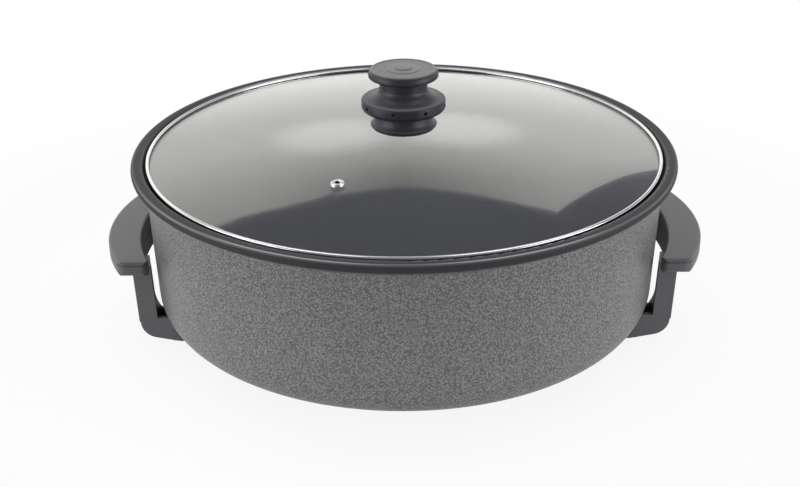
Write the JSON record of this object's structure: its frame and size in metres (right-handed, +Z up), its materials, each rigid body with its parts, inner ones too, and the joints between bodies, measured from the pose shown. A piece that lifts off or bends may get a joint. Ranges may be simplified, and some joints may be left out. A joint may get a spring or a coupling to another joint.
{
  "type": "electric pizza pan",
  "caption": "Deep round electric pan with hammertone wall, moulded grips on legs, plug-in inlet at the back and a domed lift-off glass lid with steel ring and knob.",
  "frame": {"origin": "on the table under the middle of the pan", "axes": "+X through the right-hand grip, -Y towards the viewer, +Z up"},
  "size_m": [0.446, 0.3998, 0.1954],
  "materials": {
    "hammertone": "cast, with grey hammertone paint outside and dark non-stick inside and over the rim",
    "bakelite": "satin moulded phenolic",
    "knob": "satin moulded phenolic",
    "lid_glass": "clear tempered glass",
    "polished_steel": "polished stainless steel",
    "steel": "zinc-plated steel",
    "element_steel": "oxidised tube steel",
    "ceramic": "steatite ceramic",
    "brass": "plain brass",
    "aluminium": "drawn tube",
    "rubber": "moulded rubber"
  },
  "bodies": {
    "pan": {"pan_body": "hammertone", "heating_element": "element_steel", "terminal_bushes": "ceramic", "terminal_pins": "steel", "probe_sleeve": "aluminium", "bottom_cover": "steel", "cover_screws": "steel", "inlet_housing": "bakelite", "earth_contact": "brass", "inlet_screws": "steel", "left_handle": "bakelite", "right_handle": "bakelite", "left_grip_cover": "bakelite", "right_grip_cover": "bakelite", "grip_screws": "steel", "handle_screws": "steel", "handle_washers": "steel", "foot_pads": "rubber"},
    "lid": {"glass_lid": "lid_glass", "lid_ring": "polished_steel", "lid_ring_seal": "rubber", "vent_eyelet": "polished_steel", "knob_base": "knob", "knob_cap": "knob", "knob_insert": "brass", "knob_screw": "steel", "knob_washer": "steel", "knob_seal_upper": "rubber", "knob_seal_lower": "rubber"}
  },
  "joints": [
    {"name": "lid_lift", "type": "slide", "parent": "pan", "child": "lid", "axis": [0, 0, 1], "range_m": [0, 0.2]}
  ]
}
